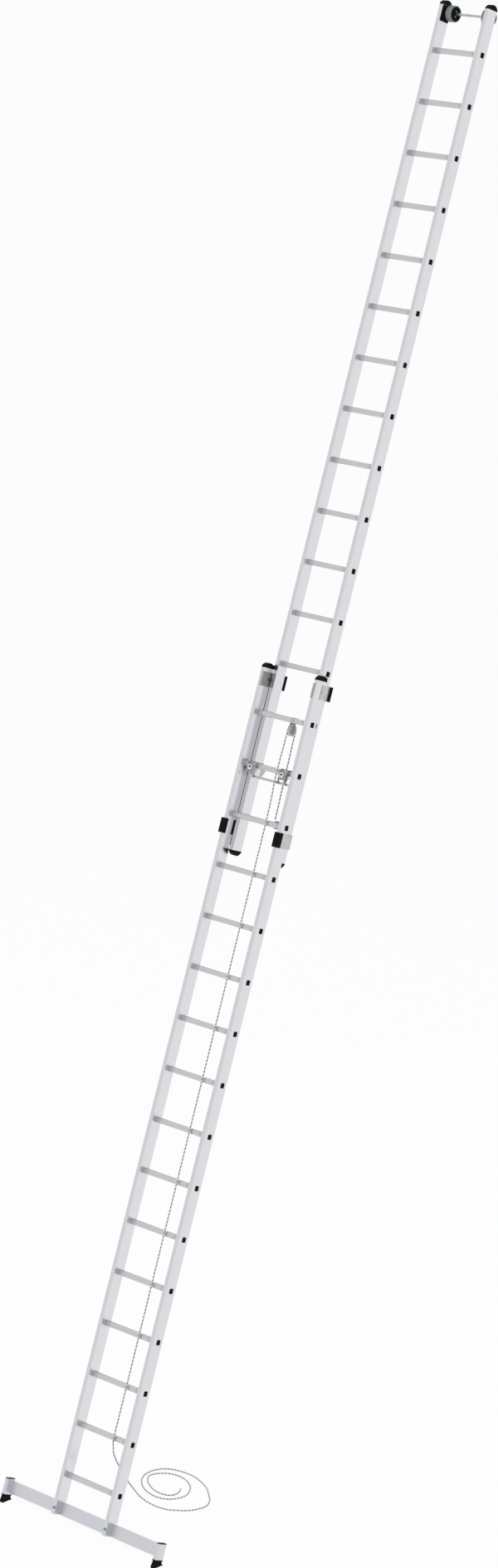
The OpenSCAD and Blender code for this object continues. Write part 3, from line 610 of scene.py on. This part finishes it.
extrusion = new_finish("extruded_aluminium", (0.74, 0.74, 0.775), 0.3, 1.0)
die_lines = pattern(extrusion, DIE_LINES, (1, 1, DRAWN), TILT)
shades(extrusion, die_lines, (0.725, 0.725, 0.76), (0.76, 0.76, 0.795))
gloss(extrusion, die_lines, 0.18, 0.30)
relief(extrusion, die_lines, 0.10, 0.0003)
# Painted shade: at the foot, below the cross tube's top, the rails' side faces are coloured
# darker.
shade_top_height = stood(0, 0, FOOT_SHADE_TOP).dot(ALONG)
rail_foot_shade = beyond(extrusion, -ALONG, -shade_top_height, 0.001 - shade_top_height)
tint(extrusion, maths(extrusion, "MULTIPLY", sideways(extrusion), rail_foot_shade), (0.60, 0.62, 0.65))

cross_metal = new_finish("cross_tube_aluminium", (0.70, 0.705, 0.75), 0.34, 1.0)
cross_lines = pattern(cross_metal, DIE_LINES, (DRAWN, 1, 1), TILT)
shades(cross_metal, cross_lines, (0.685, 0.69, 0.735), (0.72, 0.725, 0.77))
gloss(cross_metal, cross_lines, 0.30, 0.44)
relief(cross_metal, cross_lines, 0.10, 0.0003)
print("finishes:", extrusion.name, cross_metal.name)

# %% [markdown]
# The rungs are a greyer alloy, with lines across the ladder. Each end is widened and crimped
# into the rail, and the last few centimetres next to the rail are painted darker, as painted
# shade beside the rail. The two sections differ in width, so each has its own copy of the
# finish.

# %% Aluminium of the rungs
SHADED_END = (0.044, 0.038)     # the painted shade starts and is full this far from the rail


def rung_finish(name, inside):
    """Rung metal, painted darker as shade for the last few centimetres before a rail at x =
    inside.
    """
    metal = new_finish(name, (0.66, 0.66, 0.67), 0.35, 1.0)
    lines = pattern(metal, DIE_LINES, (DRAWN, 1, 1), TILT)
    shades(metal, lines, (0.64, 0.64, 0.65), (0.69, 0.69, 0.70))
    gloss(metal, lines, 0.30, 0.46)
    relief(metal, lines, 0.15, 0.0004)
    # Painted shade: the rung is tinted darker for the last few centimetres before each rail.
    ends = beyond(metal, (1, 0, 0), inside - SHADED_END[0], inside - SHADED_END[1], both_ways=True)
    tint(metal, ends, (0.56, 0.57, 0.585))
    return metal


lower_rung_metal = rung_finish("lower_rung_aluminium", LOWER_INSIDE)
upper_rung_metal = rung_finish("upper_rung_aluminium", HALF_UPPER - RAIL_W)
print("finishes:", lower_rung_metal.name, upper_rung_metal.name)

# %% [markdown]
# Brackets and pulley are zinc-plated steel, with a mottled grey shine, and the pressed hooks
# are darker. The wraps opposite the guides are galvanised and much duller, and their side
# faces are painted darker still, as painted shade. Steel comes in sheets here, so its patterns
# are clouds with no direction.

# %% Steel
FLECKS = 160.0               # scale of the plating's mottle
BARE_FROM = (0.199, 0.201)   # x beyond which the guides' bolts are bright, not blackened


def steel(name, colour, roughness, fleck, fleck_detail, smooth, rough):
    """Steel whose gloss varies in small flecks."""
    metal = new_finish(name, colour, roughness, 1.0)
    gloss(metal, pattern(metal, fleck, detail=fleck_detail), smooth, rough)
    return metal


zinc = steel("zinc_plate", (0.54, 0.545, 0.55), 0.35, FLECKS, 5.0, 0.28, 0.45)
shades(zinc, pattern(zinc, 40.0), (0.50, 0.505, 0.51), (0.60, 0.605, 0.61))
galvanised = steel("galvanised_wrap", (0.50, 0.50, 0.50), 0.5, FLECKS, 5.0, 0.42, 0.6)
shades(galvanised, pattern(galvanised, 30.0), (0.44, 0.44, 0.44), (0.56, 0.56, 0.55))
# Painted shade: the wraps' side faces are coloured darker than their fronts.
tint(galvanised, sideways(galvanised), (0.34, 0.34, 0.33))
pressed = steel("pressed_hook", (0.42, 0.425, 0.43), 0.32, FLECKS, 5.0, 0.24, 0.4)
shades(pressed, pattern(pressed, 60.0), (0.37, 0.375, 0.38), (0.47, 0.475, 0.48))
bright_steel = steel("bright_steel", (0.82, 0.82, 0.81), 0.3, 300.0, 3.0, 0.22, 0.38)
bolt_steel = steel("bolt_steel", (0.12, 0.12, 0.125), 0.4, 300.0, 3.0, 0.3, 0.5)
bolt_ends = beyond(bolt_steel, (1, 0, 0), *BARE_FROM, both_ways=True)
tint(bolt_steel, bolt_ends, (0.55, 0.55, 0.56))
spring_steel = steel("oiled_wire", (0.22, 0.22, 0.23), 0.32, 900.0, 3.0, 0.25, 0.4)
print("steels:", [m.name for m in (zinc, galvanised, pressed, bright_steel, bolt_steel)])

# %% [markdown]
# The caps and shoes are moulded plastic with a fine grain; the feet and tyres are rubber. In
# a white surround even black plastic turns grey from what it mirrors. So the mirror-like
# part is turned down, which keeps the blacks black without touching the lights.

# %% Plastic and rubber
DIM = 0.06                   # share of the usual mirror-like reflection
BLACK = (0.004, 0.004, 0.005)


def moulded(name, colour, smooth, rough, grain_scale, depth):
    """Dull plastic or rubber with a fine grain."""
    finish = new_finish(name, colour, (smooth + rough) / 2)
    shader_of(finish).inputs["Specular IOR Level"].default_value = DIM
    grain = pattern(finish, grain_scale)
    gloss(finish, grain, smooth, rough)
    relief(finish, grain, 0.25, depth)
    return finish


black_plastic = moulded("moulded_black", BLACK, 0.38, 0.55, 1100.0, 0.0002)
shoe_plastic = moulded("shoe_plastic", BLACK, 0.42, 0.62, 800.0, 0.0003)
foot_rubber = moulded("foot_rubber", (0.008, 0.008, 0.009), 0.6, 0.8, 900.0, 0.0003)
worn = pattern(foot_rubber, 90.0, detail=6.0)
shades(foot_rubber, worn, BLACK, (0.010, 0.010, 0.011))
tyre_rubber = moulded("tyre_rubber", (0.24, 0.28, 0.30), 0.65, 0.85, 1200.0, 0.0003)
scuffed = pattern(tyre_rubber, 120.0, detail=6.0)
shades(tyre_rubber, scuffed, (0.21, 0.25, 0.27), (0.27, 0.31, 0.33))
sheave_plastic = moulded("sheave_plastic", (0.62, 0.62, 0.62), 0.35, 0.5, 700.0, 0.0002)
print("black is", BLACK, "with", DIM, "of the usual reflection")

# %% [markdown]
# The rope is white, with teal and dark tracer yarns in two of its strands, so that it looks
# flecked from far away. The bands read the rope's own UV map, which turns with the strands,
# so they wind round it as real yarns do. Fine ridges across each strand stand for fibres.

# %% Rope finish
WHITE_YARN, TEAL_YARN, DARK_YARN = (0.80, 0.83, 0.83), (0.06, 0.18, 0.20), (0.05, 0.07, 0.09)
FIBRES = (4200.0, 56.0)      # ridges along the rope and round it

yarn = new_finish("rope_yarn", (0.78, 0.80, 0.79), 0.75)
rope_map = node_of(yarn, "ShaderNodeUVMap", uv_map="rope")
on_rope = node_of(yarn, "ShaderNodeSeparateXYZ")
join(yarn, rope_map.outputs["UV"], on_rope.inputs["Vector"])
length_along, strand_round = on_rope.outputs["X"], on_rope.outputs["Y"]


def tracer(strand, width, under, colour):
    """Paints a band of one strand over the colour under it."""
    off_middle = maths(yarn, "SUBTRACT", strand_round, (strand + 0.5) / STRANDS)
    band = maths(yarn, "LESS_THAN", maths(yarn, "ABSOLUTE", off_middle), width)
    return mixed(yarn, band, under, colour)


teal = tracer(0, 0.165, WHITE_YARN, TEAL_YARN)
flecked = tracer(1, 0.06, teal, DARK_YARN)
join(yarn, flecked, shader_of(yarn).inputs["Base Color"])
phase = maths(yarn, "ADD", maths(yarn, "MULTIPLY", length_along, FIBRES[0]),
              maths(yarn, "MULTIPLY", strand_round, FIBRES[1]))
relief(yarn, maths(yarn, "SINE", phase), 0.35, 0.0003)
print("finish:", yarn.name)

# %% [markdown]
# Each solid's record names the stuff that it is made of, and one table turns that into a
# finish. A second table holds the few pieces that look different from the rest of their
# kind. The pieces made above get theirs by name.

# %% Put the finishes on
FINISHES = {
    "extrusion": extrusion, "rung": lower_rung_metal, "zinc_steel": zinc,
    "spring_steel": spring_steel, "black_plastic": black_plastic,
    "slider_plastic": shoe_plastic, "foot_rubber": foot_rubber, "tyre_rubber": tyre_rubber,
    "sheave_plastic": sheave_plastic, "rope": yarn}
OWN = {
    "upper_rungs": upper_rung_metal, "traverse": cross_metal, "traverse_end_left": cross_metal,
    "traverse_end_right": cross_metal, "lower_clip_left": galvanised,
    "lower_clip_right": galvanised, "lower_guide_bolts": bolt_steel, "latch_pins": spring_steel,
    "latch_hook_left": pressed, "latch_hook_right": pressed, "traverse_bolts": pressed,
    "pulley_yoke": bright_steel}
MADE = [((pull_rope, hoist_rope, knot), yarn), (rails, extrusion),
        (hub_screws + [strap_shank] + legs, zinc), (tabs, bright_steel),
        (slit_shade_pads + hole_shade_rivets + [strap_bolt] + gap_shade_strips, black_plastic)]
STUFF = {part["node"]: part["material_slot"] for part in frame["record"]["subparts"]}
for name, node in frame["nodes"].items():
    finish = OWN.get(name, FINISHES[STUFF[name]])
    if node.material_slots:
        for slot in node.material_slots:
            slot.material = finish
    else:
        node.data.materials.append(finish)
for pieces, finish in MADE:
    for piece in pieces:
        piece.data.materials.clear()
        piece.data.materials.append(finish)
print("finishes:", sorted(FINISHES))

# %% [markdown]
# ## Studio
# A pale floor lets the ladder stand on something without drawing the eye. Lit by the lamps
# alone it would fade into grey with distance, so what the camera sees of it is mostly a plain
# glow, and only a little of it takes the shadows. It still lights the ladder as a real floor.

# %% Floor
FLOOR_GLOW = 0.93            # share of the glow in what the camera sees
FLOOR_REACH = 150            # metres to each side
FLOOR_DROP = 0.0005          # keeps the floor's face off the soles' faces

bm = bmesh.new()
bmesh.ops.create_grid(bm, x_segments=1, y_segments=1, size=FLOOR_REACH)
floor = piece_of("floor", bm)
floor.location.z = -FLOOR_DROP
pale = new_finish("pale_floor", (0.86, 0.86, 0.86), 0.9)
floor_rays = node_of(pale, "ShaderNodeLightPath").outputs
in_view = maths(pale, "MAXIMUM", floor_rays["Is Camera Ray"], floor_rays["Is Glossy Ray"])
looked_at = maths(pale, "MAXIMUM", in_view, floor_rays["Is Transmission Ray"])
glow = node_of(pale, "ShaderNodeEmission", Strength=1.0)
two_ways = node_of(pale, "ShaderNodeMixShader")
join(pale, maths(pale, "MULTIPLY", looked_at, FLOOR_GLOW), two_ways.inputs[0])
join(pale, shader_of(pale).outputs["BSDF"], two_ways.inputs[1])
join(pale, glow.outputs["Emission"], two_ways.inputs[2])
join(pale, two_ways.outputs["Shader"],
     pale.node_tree.nodes["Material Output"].inputs["Surface"])
floor.data.materials.append(pale)
print("floor:", [round(v) for v in floor.dimensions])

# %% [markdown]
# A white surround lights the ladder softly from everywhere. It is a little darker towards
# the front, so that the rails' front and side faces mirror different tones. What lights the
# ladder is turned down to leave room for the lamps, while the camera sees plain white.

# %% Surround
DARKER_FRONT = (-0.6, 0.3, 0.84, 1.0)        # from, to, and the level at each
SOFT_LIGHT = 0.75

surround = bpy.data.worlds.new("surround")
surround.use_nodes = True
bpy.context.scene.world = surround
sky = surround.node_tree.nodes["Background"]
sky.inputs["Color"].default_value = (1.0, 1.0, 1.0, 1.0)
looking = node_of(surround, "ShaderNodeSeparateXYZ")
join(surround, node_of(surround, "ShaderNodeTexCoord").outputs["Generated"],
     looking.inputs["Vector"])
from_front = ramp(surround, looking.outputs["Y"], *DARKER_FRONT)
sky_rays = node_of(surround, "ShaderNodeLightPath").outputs
level = node_of(surround, "ShaderNodeMix", data_type="FLOAT")
join(surround, sky_rays["Is Glossy Ray"], level.inputs[0])
join(surround, maths(surround, "MULTIPLY", from_front, SOFT_LIGHT), level.inputs[2])
join(surround, from_front, level.inputs[3])
seen_plain = maths(surround, "MAXIMUM", sky_rays["Is Camera Ray"],
                   sky_rays["Is Transmission Ray"])
join(surround, maths(surround, "MAXIMUM", seen_plain, level.outputs[0]),
     sky.inputs["Strength"])
print("surround:", DARKER_FRONT, "soft light", SOFT_LIGHT)

# %% [markdown]
# Two large round lamps give the faces their different tones: a strong one from the front
# right and a weaker one from the left. A small lamp would draw hard shadows of every rung.

# %% Lamps
AIM = (0, 1.4, 3.5)          # middle of the ladder


def lamp(name, place, size, watts):
    """A round lamp that faces the middle of the ladder."""
    light = bpy.data.lights.new(name, "AREA")
    light.shape = "DISK"
    light.size = size
    light.energy = watts
    piece = bpy.data.objects.new(name, light)
    piece.location = place
    piece.rotation_euler = (Vector(AIM) - Vector(place)).to_track_quat("-Z", "Y").to_euler()
    piece.visible_glossy = False     # the metal mirrors the surround alone, so it never clips
    bpy.context.scene.collection.objects.link(piece)


lamp("key", (9, -7, 12), 14.0, 750)
lamp("fill", (-9, -5, 6), 12.0, 330)
